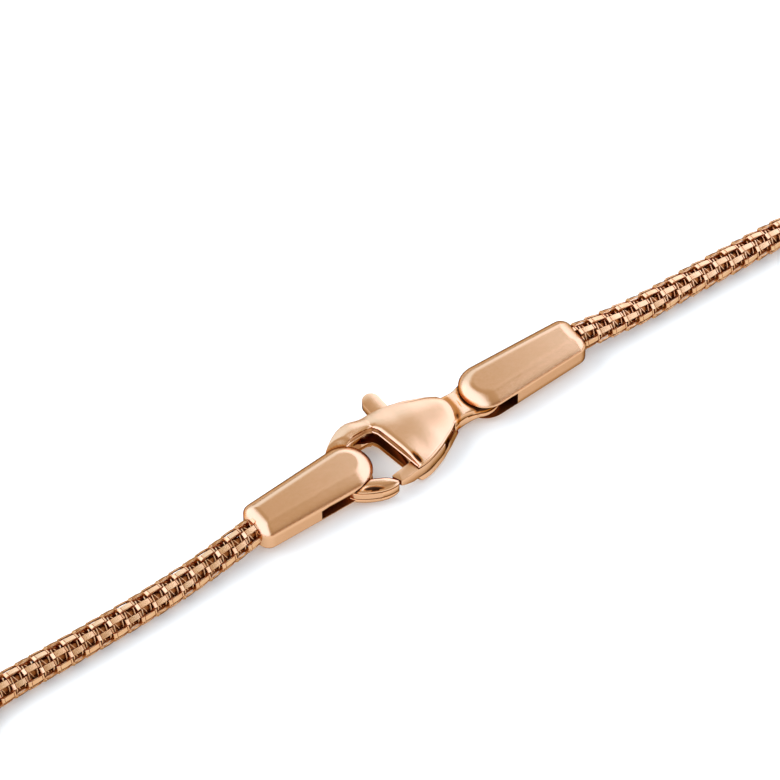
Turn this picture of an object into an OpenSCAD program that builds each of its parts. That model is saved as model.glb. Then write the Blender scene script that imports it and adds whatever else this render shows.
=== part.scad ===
// Mesh bracelet, fastened and lying flat: a woven tube closed by two end caps and a claw clasp.
// Millimetres. X runs along the clasp, Y across it, Z up from the surface that it lies on.

/* [Mesh] */
// Length once round the centre line, caps and clasp included
loop_length = 190; // [186:1:198]
// Width across the woven tube
mesh_d = 2.06; // [1.9:0.02:2.16]
// Depth of the woven wall
mesh_wall = 0.35; // [0.25:0.05:0.5]
// Radius of the bend on each side of the loop
bend_r = 6; // [5:0.5:7]
// Direction of the tube as it leaves the side bend, in degrees from the clasp's line
bend_end = 130; // [126:1:132]
// Radius of the far end of the loop
far_r = 7; // [6:0.5:9]
// Direction of the tube as it enters the far end, in degrees from the clasp's line
far_start = 154; // [150:1:158]
// Length over which the tube sinks from a cap to the surface
sink_l = 6; // [4:0.5:9]

/* [End caps] */
// Length of a cap
cap_l = 9.47; // [9:0.1:10.5]
// Width of a cap at its rounded clasp end
cap_w = 3.63; // [3.5:0.05:3.8]
// Width of a cap at its mesh end
cap_mesh_w = 3.1; // [3:0.05:3.4]
// Height of a cap
cap_h = 2.74; // [2.7:0.02:2.9]
// Rounding of the long edges
cap_edge_r = 0.73; // [0.4:0.05:0.85]
// Rounding of the corners at the mesh end, seen from above
cap_corner_r = 1.1; // [0.9:0.05:1.3]
// Distance between the two caps
cap_spacing = 7.9; // [7.7:0.05:8.3]
// Turn of each cap towards the inside of the loop, in degrees
cap_turn = 0.6; // [0:0.1:1.5]
// Depth of the round socket that holds the tube
socket_depth = 2.5; // [1.5:0.1:3]
// Length of the slot in the right cap
slot_l_right = 3.25; // [3:0.05:4]
// Height of the slot in the right cap
slot_h_right = 1.2; // [1.15:0.05:1.35]
// Length of the slot in the left cap
slot_l_left = 5.1; // [4.2:0.1:5.3]
// Height of the slot in the left cap
slot_h_left = 0.92; // [0.86:0.02:1.2]

/* [Posts] */
// Thickness of the upright post across each slot
post_d = 0.9; // [0.7:0.05:0.96]
// Distance from a cap's rounded end to its post
post_inset = 1.3; // [1.1:0.05:1.4]
// Depth of the post's seat in each plate of the cap
post_seat = 0.3; // [0.2:0.05:0.4]

/* [Clasp body] */
// Height of the clasp's middle above the surface
clasp_z = 1.28; // [1.24:0.01:1.36]
// Width of the two shells at their widest
shell_w = 5.4; // [5.2:0.05:5.6]
// Thickness over both shells at the crown
shell_t = 2.36; // [2.2:0.02:2.4]
// Height of the upright band round the edge of the shells, over both
band_t = 1.64; // [1.5:0.02:1.8]
// Where the shells start beside the window, left of the clasp's middle
shell_start = 2.07; // [1.9:0.02:2.2]
// Where the shells end at the neck, right of the clasp's middle
shell_end = 2.55; // [2.4:0.05:2.7]
// Thickness of the neck and the ring
tail_t = 1.06; // [0.9:0.02:1.08]
// Width of the neck
neck_w = 2.3; // [2.1:0.05:2.4]
// Width across the ring at the tail
ring_d = 2.9; // [2.5:0.05:3]

/* [Hook] */
// Distance across the hook, from the middle of its arm to the middle of its tip
hook_d = 4.7; // [4.65:0.05:4.8]
// Width of the hook's arm beside the shells, seen from above
arm_w = 1.3; // [1.2:0.05:1.4]
// Width of the hook where it passes through the left cap
hook_w = 1.05; // [0.9:0.05:1.1]
// Width of the hook's tip where it is fullest
tip_w = 1.25; // [1.1:0.05:1.3]
// Thickness of the arm beside the shells
arm_t = 2.04; // [1.8:0.02:2.2]
// Thickness of the hook where it passes through the left cap
hook_t = 0.76; // [0.6:0.02:0.78]
// Thickness of the hook's tip
tip_t = 1.56; // [1.3:0.02:1.6]

/* [Lever] */
// Thickness of the lever
lever_t = 0.78; // [0.7:0.02:0.8]
// Width of the gate that closes the hook
gate_w = 0.85; // [0.7:0.05:0.9]
// Length from the lever's pin to the outer corner of the gate
gate_reach = 3.23; // [3.15:0.02:3.3]
// Width of the thumb tab
tab_w = 1.24; // [1.1:0.02:1.3]
// Distance that the tab's end lies from the clasp's line
tab_reach = 4.35; // [4:0.05:4.6]
// Distance of the tab's middle from the clasp's middle, towards the hook
tab_left = 0.93; // [0.85:0.02:1]
// Distance of the lever's pin from the clasp's middle, towards the hook
pin_left = 0.75; // [0.7:0.05:0.85]
// Distance of the lever's pin from the clasp's line, towards the gate
pin_near = 0.9; // [0.8:0.05:1]
// Thickness of the pin that the lever turns on
pin_d = 0.6; // [0.5:0.05:0.8]
// Depth of the pin's seat in each shell
pin_seat = 0.4; // [0.3:0.05:0.45]

/* [Clearances] */
// Gap round a post or pin in its seat, and between the tube and its socket
seat_gap = 0.03; // [0.02:0.01:0.05]
// Gap between the lever and what it turns in or closes against
lever_gap = 0.05; // [0.04:0.01:0.08]
// Play of the clasp's ring round the right post
ring_play = 0.13; // [0.08:0.01:0.2]
// Play of the hook beside the left post
hook_play = 0.12; // [0.08:0.01:0.16]

/* [Hidden] */
rose_gold = "#DDB088";
deep_rose = "#C08A60";
$fn = 48;
// Sides of the swept tube and of the hook's section
tube_sides = 12;
hook_sides = 12;
// Steps across the crown of a shell
crown_steps = 8;

// Sideways drift of the tube beside each cap, towards the inside of the loop.
// Columns: distance from the cap, drift on the right, drift on the left.
SWAY_AT = 0;
SWAY_RIGHT = 1;
SWAY_LEFT = 2;
sway = [
    [0, 0, 0],
    [2, 0.2, 0.08],
    [6, 0.43, 0.21],
    [9, 0.5, 0.27],
    [14, 0.66, 0.16],
    [20, 0.85, -0.03],
    [46, 0, 0],
];

// Sections of the shells. Columns: place between start and end, half width as a share of
// half of shell_w, crown as a share of the rise above the band, slant of the section.
ROW_AT = 0;
ROW_W = 1;
ROW_CROWN = 2;
ROW_SLANT = 3;
shell_rows = [
    [0, 1, 0.62, 0.155],
    [0.12, 1, 0.82, 0.11],
    [0.27, 0.975, 0.97, 0.06],
    [0.42, 0.91, 1, 0.03],
    [0.56, 0.835, 1, 0],
    [0.7, 0.73, 0.98, 0],
    [0.83, 0.625, 0.9, 0],
    [0.93, 0.53, 0.72, 0],
    [1, 0.45, 0.35, 0],
];

// Sections of the neck. Columns: place between the shells' end and the ring's middle,
// half width as a share of half of neck_w, thickness as a share of tail_t.
NECK_AT = 0;
NECK_W = 1;
NECK_T = 2;
neck_rows = [
    [-0.25, 1.1, 1.45],
    [0, 1.03, 1.38],
    [0.2, 1, 1.28],
    [0.4, 1.04, 1.12],
    [0.58, 1.12, 1],
    [0.78, 1.16, 1],
];

// Derived sizes
mesh_r = mesh_d / 2;
post_x = cap_spacing / 2 + post_inset;
cap_reach = cap_l - post_inset;
cap_mid = cap_h / 2;
shell_hw = shell_w / 2;
lever_room = lever_t / 2 + lever_gap;
pin_x = -pin_left;
pin_y = -pin_near;
eps = 0.01;

function mix(a, b, t) = a + (b - a) * t;
function smooth(t) = let(u = max(0, min(1, t))) u * u * (3 - 2 * u);
// Value of one column of a table at x, on straight lines between its rows
function look(table, x, at, col) =
    let(last = len(table) - 1)
    x <= table[0][at] ? table[0][col] :
    x >= table[last][at] ? table[last][col] :
    let(i = [for (k = [0:last - 1]) if (x >= table[k][at] && x < table[k + 1][at]) k][0])
    mix(table[i][col], table[i + 1][col],
        (x - table[i][at]) / (table[i + 1][at] - table[i][at]));

// The loop's centre line, worked out for its right half and mirrored for the left.
// Directions are turned clockwise from the clasp's line, and each stretch is an arc.
start_x = post_x + cap_reach * cos(cap_turn);
start_y = -cap_reach * sin(cap_turn);
function rad(a) = a * PI / 180;
bend_l = bend_r * rad(bend_end - cap_turn);
far_l = far_r * rad(180 - far_start);
side_turn = rad(far_start - bend_end) / (sin(bend_end) - sin(far_start));
side_x = start_x + bend_r * (sin(bend_end) - sin(cap_turn)) - far_r * sin(far_start);
straight_l = (loop_length / 2 - post_x - cap_reach - bend_l - far_l - side_x * side_turn)
    / (1 + side_turn * cos(cap_turn));
side_r = (side_x + straight_l * cos(cap_turn)) / (sin(bend_end) - sin(far_start));
side_l = side_r * rad(far_start - bend_end);
half_l = straight_l + bend_l + side_l + far_l;

// Point on an arc: start, radius, first direction, direction reached
function on_arc(p, r, h0, h1) = [p[0] + r * (sin(h1) - sin(h0)), p[1] + r * (cos(h1) - cos(h0))];
p_bend = [start_x + straight_l * cos(cap_turn), start_y - straight_l * sin(cap_turn)];
p_side = on_arc(p_bend, bend_r, cap_turn, bend_end);
p_far = on_arc(p_side, side_r, bend_end, far_start);
p_end = on_arc(p_far, far_r, far_start, 180);
loop_depth = -p_end[1];

// Direction of the centre line at distance s from the cap
function heading(s) =
    s <= straight_l ? cap_turn :
    s <= straight_l + bend_l ? mix(cap_turn, bend_end, (s - straight_l) / bend_l) :
    s <= straight_l + bend_l + side_l
        ? mix(bend_end, far_start, (s - straight_l - bend_l) / side_l) :
    mix(far_start, 180, (s - straight_l - bend_l - side_l) / far_l);
// Place of the centre line at distance s from the cap, before it drifts
function place(s) =
    let(h = heading(s))
    s <= straight_l ? [start_x + s * cos(h), start_y - s * sin(h)] :
    s <= straight_l + bend_l ? on_arc(p_bend, bend_r, cap_turn, h) :
    s <= straight_l + bend_l + side_l ? on_arc(p_side, side_r, bend_end, h) :
    on_arc(p_far, far_r, far_start, h);
// Height of the centre line: it leaves the socket level and sinks onto the surface
function height(s) = mix(cap_mid, mesh_r, smooth(s / sink_l));

// Distances from the cap at which the tube has a ring
function steps(from, to, n) = [for (k = [0:n - 1]) mix(from, to, k / n)];
ring_places = concat(
    [seat_gap - socket_depth, -socket_depth / 2],
    steps(0, sink_l, 5),
    steps(sink_l, straight_l, 6),
    steps(straight_l, straight_l + bend_l, 11),
    steps(straight_l + bend_l, half_l - far_l, 8),
    steps(half_l - far_l, half_l, 5)
);

// One ring of the tube on the side given by sgn: 1 is right, -1 is left
function tube_ring(s, sgn, r) =
    let(
        p = place(s),
        h = heading(s),
        drift = look(sway, s, SWAY_AT, sgn > 0 ? SWAY_RIGHT : SWAY_LEFT)
    )
    [for (k = [0:tube_sides - 1])
        let(a = k * 360 / tube_sides, u = r * cos(a) - drift)
        [sgn * (p[0] + sin(h) * u), p[1] + cos(h) * u, height(s) + r * sin(a)]
    ];
function tube_rings(r) = concat(
    [for (s = ring_places) tube_ring(s, 1, r)],
    [tube_ring(half_l, 1, r)],
    [for (i = [len(ring_places) - 1:-1:0]) tube_ring(ring_places[i], -1, r)]
);

// Flat list of a list of rings
function flat(rings) = [for (ring = rings) each ring];
// Side faces of a swept form with n points in a ring, its points numbered from base
function side_faces(count, n, base = 0) = [
    for (i = [0:count - 2], k = [0:n - 1])
        let(a = base + i * n, b = base + (i + 1) * n, q = (k + 1) % n)
        [a + k, b + k, b + q, a + q]
];
function turned(faces) = [for (f = faces) [f[3], f[2], f[1], f[0]]];

// A closed form through a list of rings, each a list of points
module loft(rings) {
    n = len(rings[0]);
    count = len(rings);
    first = [for (k = [0:n - 1]) k];
    last = [for (k = [n - 1:-1:0]) (count - 1) * n + k];
    polyhedron(flat(rings), concat(side_faces(count, n), [first], [last]), convexity = 6);
}

// A hollow tube between an outer and an inner list of rings
module tube_wall(outer, inner) {
    n = len(outer[0]);
    count = len(outer);
    base = n * count;
    end = n * (count - 1);
    rim = [for (k = [0:n - 1]) let(q = (k + 1) % n) [k, q, base + q, base + k]];
    far_rim = [for (k = [0:n - 1])
        let(q = (k + 1) % n) [base + end + k, base + end + q, end + q, end + k]];
    polyhedron(concat(flat(outer), flat(inner)),
        concat(side_faces(count, n), turned(side_faces(count, n, base)), rim, far_rim),
        convexity = 10);
}

// A disc lying flat whose rim is rounded above and below
module soft_disc(r, h, edge) {
    rotate_extrude($fn = 32) intersection() {
        square([r, h]);
        union() {
            translate([0, edge]) square([r, h - 2 * edge]);
            square([r - edge, h]);
            translate([r - edge, edge]) circle(edge);
            translate([r - edge, h - edge]) circle(edge);
        }
    }
}

// The place of a cap: its post is the origin, and it points away from the clasp
module cap_place(sgn) {
    translate([sgn * post_x, 0, 0]) rotate([0, 0, -sgn * cap_turn]) mirror([sgn < 0 ? 1 : 0, 0, 0])
        children();
}

// A cap seen from its post: the clasp end is rounded, the mesh end has two corners
module cap_form() {
    hull() {
        translate([cap_w / 2 - post_inset, 0, 0]) soft_disc(cap_w / 2, cap_h, cap_edge_r);
        for (side = [-1, 1])
            translate([cap_reach - cap_corner_r, side * (cap_mesh_w / 2 - cap_corner_r), 0])
                soft_disc(cap_corner_r, cap_h, cap_edge_r);
    }
}

// A cap with its slot, the seats of its post and the socket for the tube
module cap(slot_l, slot_h) {
    difference() {
        cap_form();
        translate([-post_inset - eps, -cap_w, clasp_z - slot_h / 2])
            cube([slot_l + eps, 2 * cap_w, slot_h]);
        translate([0, 0, clasp_z - slot_h / 2 - post_seat])
            cylinder(h = slot_h + 2 * post_seat, r = post_d / 2 + seat_gap);
        translate([cap_reach - socket_depth, 0, cap_mid]) rotate([0, 90, 0])
            cylinder(h = socket_depth + 1, r = mesh_r + seat_gap);
    }
}

module post(slot_h) {
    h = slot_h + 2 * post_seat - 2 * seat_gap;
    translate([0, 0, clasp_z - h / 2]) cylinder(h = h, r = post_d / 2);
}

// Ring of a shell section: half width w, crown z = c, band half height b
function shell_ring(x, w, c, b, slant) = concat(
    [for (k = [0:crown_steps])
        let(a = k * 180 / crown_steps, y = w * cos(a))
        [x - slant * y, y, b + (c - b) * pow(sin(a), 2)]],
    [for (k = [0:crown_steps])
        let(a = 180 + k * 180 / crown_steps, y = w * cos(a))
        [x - slant * y, y, -b - (c - b) * pow(sin(a), 2)]]
);
// Ring of a softly squared section, for the hook and the neck
function squared(v) = sign(v) * pow(abs(v), 0.6);
function soft_ring(p, n, w, h) = [
    for (k = [0:hook_sides - 1])
        let(a = k * 360 / hook_sides, u = w / 2 * squared(cos(a)))
        [p[0] + n[0] * u, p[1] + n[1] * u, h / 2 * squared(sin(a))]
];

// How far the upright band narrows at the neck
band_fall = 0.1;
function shell_x(row) = mix(-shell_start, shell_end, row[ROW_AT]);
function shell_half(row) = shell_hw * row[ROW_W];
shells = [for (row = shell_rows)
    let(b = band_t / 2 * (1 - band_fall * pow(row[ROW_AT], 4)),
        crown = b + (shell_t / 2 - b) * row[ROW_CROWN])
    shell_ring(shell_x(row), shell_half(row), crown, b, row[ROW_SLANT])];

// Centre line of the hook: an arm beside the window, half a circle round the left post,
// then the tip. The whole lies a little towards the gate.
hook_r = hook_d / 2;
hook_x = hook_r - hook_w / 2 - post_x - post_d / 2 - hook_play;
hook_y = -0.05;
// How far the arm runs into the shells
arm_root = 0.77;
arm_l = -hook_x - shell_start + arm_root;
hook_turn_l = PI * hook_r;
tip_l = 0.5;
// Length over which the tip narrows to its point, and its width at the point
beak_l = 1.05;
beak_w = 0.3;
// Share of arm_w that is left at the arm's root
root_share = 0.8;
hook_l = arm_l + hook_turn_l + tip_l;
hook_count = 30;
// Directions between which the hook is thin, seen from the middle of its half circle
thin_from = 112;
thin_to = 240;
full_at = 260;
function hook_angle(t) = 90 + 180 * max(0, min(1, (t - arm_l) / hook_turn_l));
function beak(t) = pow(max(0, (t - hook_l) / beak_l + 1), 1.5);
// Thickness: full beside the shells, thin inside the cap, fuller again at the tip
function hook_thick(t) =
    let(a = hook_angle(t), thinning = arm_l / 2 + hook_r * rad(thin_from - 90))
    a < 180
        ? mix(arm_t, hook_t, smooth((t - arm_l / 2) / thinning))
        : mix(hook_t, tip_t, smooth((a - thin_to) / (full_at - thin_to)))
            * (1 - 0.3 * beak(t));
function hook_wide(t) =
    let(a = hook_angle(t))
    t < arm_l ? arm_w * mix(root_share, 1, smooth(t / arm_l)) :
    a < 180
        ? mix(arm_w, hook_w, smooth((a - 90) / (thin_from - 70)))
        : mix(mix(hook_w, tip_w, smooth((a - thin_to) / (full_at - thin_to))), beak_w, beak(t));
// Where it narrows, the arm keeps its inner edge and the tip keeps its outer edge
function hook_place(t) =
    let(
        a = hook_angle(t),
        along = t < arm_l ? arm_l - t : max(0, t - arm_l - hook_turn_l),
        shift = t < arm_l ? (hook_wide(t) - arm_w) / 2 :
            beak(t) > 0 ? (tip_w - hook_wide(t)) / 2 : 0
    )
    [hook_x + along + (hook_r + shift) * cos(a), hook_y + (hook_r + shift) * sin(a)];
hook_rings = [for (k = [0:hook_count])
    let(t = hook_l * k / hook_count, a = hook_angle(t))
    soft_ring(hook_place(t), [-cos(a), -sin(a)], hook_wide(t), hook_thick(t))];

neck_rings = [for (row = neck_rows)
    soft_ring([mix(shell_end, post_x, row[NECK_AT]), 0], [0, 1],
        neck_w * row[NECK_W], tail_t * row[NECK_T])];

// The lever seen from above: the gate, a curved near side, an eye and the tab's stem
gate_y = -(shell_hw + 0.08);
gate_left = pin_x - 0.827 * gate_reach;
tab_x = -tab_left;
tab_hw = tab_w / 2;
eye_w = 0.85;
eye_y = pin_y + 0.5;
lever_right = pin_x + 1.65;
// How far the lever's near side lies behind the shells' edge
flush = 0.04;
function shell_edge(x) = look([for (row = shell_rows) [shell_x(row), shell_half(row)]], x, 0, 1);
near_edge = [for (k = [0:5])
    let(x = mix(-shell_start + 0.37, lever_right, k / 5))
    [x, -shell_edge(x) + flush]];
stem_y = pin_y + 2.5;
lever_plan = concat(
    [[gate_left, gate_y]], near_edge,
    [[lever_right, pin_y - 0.8], [pin_x + eye_w, eye_y],
     [tab_x + tab_hw, stem_y], [tab_x - tab_hw, stem_y],
     [pin_x - eye_w, eye_y], [pin_x - 1, gate_y + gate_w], [gate_left, gate_y + gate_w]]
);

// Room for the lever between the shells. It is open on the near side, at the window and
// where the tab comes out, and it runs on as a groove in the arm's inner side.
tab_play = 0.17;
tab_swing = 1.6;
open_left = -shell_start - 0.45;
open_right = shell_end - 0.25;
back_x = open_right - 0.55;
groove_y = hook_y + hook_r - arm_w / 2 + 0.5;
groove_x = hook_x + 0.7;
slot_plan = [
    [open_left, -shell_w], [open_right, -shell_w], [open_right, pin_y - 0.35],
    [back_x, eye_y], [back_x, pin_y + 1.8],
    [tab_x + tab_hw + tab_swing, stem_y], [tab_x + tab_hw + tab_swing, shell_w],
    [tab_x - tab_hw - tab_play, shell_w], [tab_x - tab_hw - tab_play, groove_y + 0.2],
    [-shell_start, groove_y], [groove_x, groove_y],
    [groove_x, hook_y + hook_r - arm_w], [open_left, stem_y - arm_w]
];

module pin_place() {
    translate([pin_x, pin_y, 0]) children();
}

module lever_slot() {
    translate([0, 0, -lever_room]) linear_extrude(2 * lever_room) polygon(slot_plan);
}

// The tip is cut back so that the gate can swing past it
module hook() {
    difference() {
        loft(hook_rings);
        intersection() {
            pin_place() translate([0, 0, -shell_t])
                cylinder(h = 2 * shell_t, r = gate_reach + lever_gap);
            translate([hook_x, -shell_w, -shell_t]) cube([shell_w, shell_w, 2 * shell_t]);
        }
    }
}

module clasp_form() {
    loft(shells);
    hook();
    loft(neck_rings);
    translate([post_x, 0, -tail_t / 2]) soft_disc(ring_d / 2, tail_t, tail_t / 4);
}

// The whole is set down with the middle of its outline over the origin
tube_x = [for (ring = tube_rings(mesh_r), point = ring) point[0]];
clasp_x = -(min(tube_x) + max(tube_x)) / 2;
clasp_y = (loop_depth + mesh_r - tab_reach) / 2;
module set_down(z = 0) {
    translate([clasp_x, clasp_y, z]) children();
}

module lever_plate(plan) {
    translate([0, 0, -lever_t / 2]) linear_extrude(lever_t) polygon(plan);
}

module mesh_tube() {
    color(rose_gold) set_down() tube_wall(tube_rings(mesh_r), tube_rings(mesh_r - mesh_wall));
}

module left_cap() {
    color(rose_gold) set_down() cap_place(-1) cap(slot_l_left, slot_h_left);
}

module right_cap() {
    color(rose_gold) set_down() cap_place(1) cap(slot_l_right, slot_h_right);
}

module left_post() {
    color(deep_rose) set_down() cap_place(-1) post(slot_h_left);
}

module right_post() {
    color(deep_rose) set_down() cap_place(1) post(slot_h_right);
}

module clasp_body() {
    seat_h = 2 * (lever_room + pin_seat);
    color(rose_gold) set_down(clasp_z) difference() {
        clasp_form();
        lever_slot();
        pin_place() translate([0, 0, -seat_h / 2]) cylinder(h = seat_h, r = pin_d / 2 + seat_gap);
        translate([post_x, 0, -tail_t]) cylinder(h = 2 * tail_t, r = post_d / 2 + ring_play);
    }
}

module clasp_lever() {
    color(deep_rose) set_down(clasp_z) difference() {
        union() {
            intersection() {
                lever_plate(lever_plan);
                pin_place() translate([0, 0, -lever_t]) cylinder(h = 2 * lever_t, r = gate_reach);
            }
            translate([tab_x - tab_hw, stem_y - eps, -lever_t / 2])
                cube([tab_w, tab_reach - tab_hw - stem_y + eps, lever_t]);
            translate([tab_x, tab_reach - tab_hw, -lever_t / 2])
                cylinder(h = lever_t, r = tab_hw);
        }
        pin_place() translate([0, 0, -lever_t]) cylinder(h = 2 * lever_t, r = pin_d / 2 + lever_gap);
    }
}

module lever_pin() {
    h = 2 * (lever_room + pin_seat - seat_gap);
    color(deep_rose) set_down(clasp_z - h / 2) pin_place() cylinder(h = h, r = pin_d / 2);
}

mesh_tube();
left_cap();
right_cap();
left_post();
right_post();
clasp_body();
clasp_lever();
lever_pin();
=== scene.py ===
import random
from math import acos, atan2, copysign, cos, exp, hypot, pi, radians, sin, sqrt

import bmesh
import bpy
from mathutils import Matrix, Vector


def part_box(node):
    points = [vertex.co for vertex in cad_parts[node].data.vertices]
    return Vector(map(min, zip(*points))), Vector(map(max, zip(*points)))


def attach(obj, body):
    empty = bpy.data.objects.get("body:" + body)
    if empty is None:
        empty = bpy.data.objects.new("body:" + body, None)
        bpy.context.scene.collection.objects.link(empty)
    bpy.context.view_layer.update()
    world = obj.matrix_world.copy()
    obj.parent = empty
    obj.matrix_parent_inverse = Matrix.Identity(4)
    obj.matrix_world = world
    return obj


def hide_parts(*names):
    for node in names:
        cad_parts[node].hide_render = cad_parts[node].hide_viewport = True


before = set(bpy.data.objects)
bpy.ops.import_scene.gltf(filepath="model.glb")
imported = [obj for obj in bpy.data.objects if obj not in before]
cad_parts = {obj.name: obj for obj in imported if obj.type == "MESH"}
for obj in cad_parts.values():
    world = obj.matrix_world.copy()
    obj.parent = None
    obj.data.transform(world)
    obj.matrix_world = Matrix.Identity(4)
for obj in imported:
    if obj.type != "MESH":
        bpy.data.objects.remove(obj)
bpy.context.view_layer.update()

# Lengths are in millimetres round the middle of the clasp, as in the part's source: x runs along
# the clasp, y across it and z up from the surface. SET_DOWN brings them to metres in the frame.
MM = 0.001
PIN_X, PIN_Y = -0.75, -0.9
pin_low, pin_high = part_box("lever_pin")
CLASP_X = (pin_low.x + pin_high.x) / 2 / MM - PIN_X
CLASP_Y = (pin_low.y + pin_high.y) / 2 / MM - PIN_Y
SET_DOWN = Matrix.Scale(MM, 4) @ Matrix.Translation((CLASP_X, CLASP_Y, 0))
UP = (0, 0, 1)


# ---- sums and tables

def mix(a, b, t):
    return a + (b - a) * t


def clamp(t):
    return max(0.0, min(1.0, t))


def smooth(t):
    """Rises smoothly from 0 at 0 to 1 at 1."""
    u = clamp(t)
    return u * u * (3 - 2 * u)


def bell(off, wide):
    return exp(-(off / wide) ** 2)


def sin_of(degrees):
    return sin(radians(degrees))


def cos_of(degrees):
    return cos(radians(degrees))


def read_off(table, x, column):
    """Value of a table's column at x, on a smooth curve through its rows."""
    last = len(table) - 1
    if x <= table[0][0]:
        return table[0][column]
    if x >= table[last][0]:
        return table[last][column]
    k = max(i for i in range(last) if table[i][0] <= x)

    def slope(i):
        a, b = table[max(i - 1, 0)], table[min(i + 1, last)]
        return (b[column] - a[column]) / (b[0] - a[0])

    x0, x1 = table[k][0], table[k + 1][0]
    h = x1 - x0
    t = (x - x0) / h
    y0, y1 = table[k][column], table[k + 1][column]
    m0, m1 = slope(k) * h, slope(k + 1) * h
    return ((2 * t ** 3 - 3 * t ** 2 + 1) * y0 + (t ** 3 - 2 * t ** 2 + t) * m0
            + (3 * t ** 2 - 2 * t ** 3) * y1 + (t ** 3 - t ** 2) * m1)


def beside(x, y, start, end):
    """How far along a line a place is, from 0 at its start to 1 at its end, and how far off it."""
    way = Vector((end[0] - start[0], end[1] - start[1]))
    off = Vector((x - start[0], y - start[1]))
    along = off.dot(way) / way.length_squared
    return along, (off - way * along).length


def taper(along):
    """The width of a pointed leaf, from 0 at its ends to 1 at its middle."""
    return sin(pi * along) ** 0.6 if 0 < along < 1 else 0


def add_object(name, data):
    thing = bpy.data.objects.new(name, data)
    bpy.context.scene.collection.objects.link(thing)
    return thing


def to_mesh(name, bm):
    mesh = bpy.data.meshes.new(name)
    bm.to_mesh(mesh)
    bm.free()
    return mesh


# ---- camera

# The photograph's view: degrees round and down, distance, and how far right of the clasp's middle
# it is centred. The lens and its sensor are in millimetres, its reach in metres.
VIEW_TURN, VIEW_TILT, VIEW_AWAY, VIEW_X = 36.5, 54, 380, 0.28
LENS, SENSOR, LENS_REACH = 263.08, 36, (0.01, 20)
SHIFT_X, SHIFT_Y = -0.03718, 0.06731


def set_camera():
    right = Vector((cos_of(VIEW_TURN), -sin_of(VIEW_TURN), 0))
    ahead = Vector((sin_of(VIEW_TURN) * cos_of(VIEW_TILT), cos_of(VIEW_TURN) * cos_of(VIEW_TILT),
                    -sin_of(VIEW_TILT)))
    lens = bpy.data.cameras.new("camera")
    lens.sensor_width, lens.lens = SENSOR, LENS
    lens.shift_x, lens.shift_y = SHIFT_X, SHIFT_Y
    lens.clip_start, lens.clip_end = LENS_REACH
    camera = add_object("camera", lens)
    stand = Matrix((right, right.cross(ahead), -ahead)).transposed().to_4x4()
    stand.translation = (Vector((CLASP_X + VIEW_X, CLASP_Y, 0)) - ahead * VIEW_AWAY) * MM
    camera.matrix_world = stand
    bpy.context.scene.camera = camera


# ---- nodes

class Wire:
    """A node's output that takes part in sums. A sum on wires adds its Math nodes."""

    def __init__(self, bench, socket):
        self.bench, self.socket = bench, socket

    def maths(self, operation, *terms):
        return self.bench.node("ShaderNodeMath", {"operation": operation}, dict(enumerate(terms)))

    def __add__(self, other):
        return self.maths("ADD", self, other)

    def __sub__(self, other):
        return self.maths("SUBTRACT", self, other)

    def __rsub__(self, other):
        return self.maths("SUBTRACT", other, self)

    def __mul__(self, other):
        return self.maths("MULTIPLY", self, other)

    def __pow__(self, other):
        return self.maths("POWER", self, other)

    def most(self, other):
        return self.maths("MAXIMUM", self, other)

    def step(self, low, high):
        """Rises smoothly from 0 at low to 1 at high."""
        return self.bench.node("ShaderNodeMapRange", {"interpolation_type": "SMOOTHSTEP"},
                               {"Value": self, "From Min": low, "From Max": high})

    __radd__ = __add__
    __rmul__ = __mul__


class Bench:
    """The nodes of one material or of the sky."""

    def __init__(self, owner):
        owner.use_nodes = True
        self.tree = owner.node_tree
        self.tree.nodes.clear()

    def node(self, kind, settings=None, inputs=None, output=0):
        made = self.tree.nodes.new(kind)
        for name, value in (settings or {}).items():
            if name == "stops":
                ramp = made.color_ramp.elements
                while len(ramp) < len(value):
                    ramp.new(1)
                for stop, (place, colour) in zip(ramp, value):
                    stop.position, stop.color = place, colour
            else:
                setattr(made, name, value)
        for name, value in (inputs or {}).items():
            if isinstance(value, Wire):
                self.tree.links.new(value.socket, made.inputs[name])
            else:
                made.inputs[name].default_value = value
        return Wire(self, made.outputs[output])

    def blend(self, share, first, second):
        """A colour between two colours."""
        return self.node("ShaderNodeMix", {"data_type": "RGBA"},
                         {0: share, 6: first, 7: second}, 2)

    def choose(self, share, first, second):
        """A shader between two shaders."""
        return self.node("ShaderNodeMixShader", {}, {0: share, 1: first, 2: second})

    def toward(self, direction, way):
        """How far a direction points along a way, from -1 to 1."""
        return self.node("ShaderNodeVectorMath", {"operation": "DOT_PRODUCT"},
                         {0: direction, 1: Vector(way).normalized()}, "Value")

    def finish(self, kind, shader):
        """Ends the tree with the shader on its surface."""
        out = self.tree.nodes.new(kind)
        self.tree.links.new(shader.socket, out.inputs["Surface"])


# ---- light and floor

# The studio by direction: the dim room, and where it glows, as way, strength and narrowness
ROOM = 0.49
GLOWS = (((0.4, 0.47, 0.79), 0.1, 30), ((0.4, 0.1, 0.91), 0.14, 24),
         ((0.35, -0.75, 0.56), 0.13, 10))
# Softboxes and shades: strength, and how far toward their side they start and are full
RIGHT_BOX, LEFT_BOX, BACK_BOX = (0.9, 0.39, 0.57), (0.95, 0.15, 0.6), (0.45, 0.5, 0.85)
NEAR_SHADE, NEAR_FOOT, FAR_FOOT = (0.17, 0.4, 0.85), (0.27, 0.3, 0.8), (0.75, 0.35, 0.8)
# The heights between which the shades at the near and far foot of the room end
NEAR_FOOT_TOP, FAR_FOOT_TOP = (0.1, 0.45), (0.03, 0.16)
# The sky's colour, from no light to its brightest
BRIGHTEST = 2
SKY_TINTS = [
    (0.0, (1, 0.62, 0.4, 1)), (0.25, (1, 0.85, 0.64, 1)), (0.33, (1, 0.95, 0.86, 1)),
    (0.42, (1, 1.18, 1.42, 1)), (0.5, (1, 1.3, 1.7, 1)), (0.7, (1, 1.1, 1.5, 1)),
    (1, (1, 0.9, 1.1, 1)),
]
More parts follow.
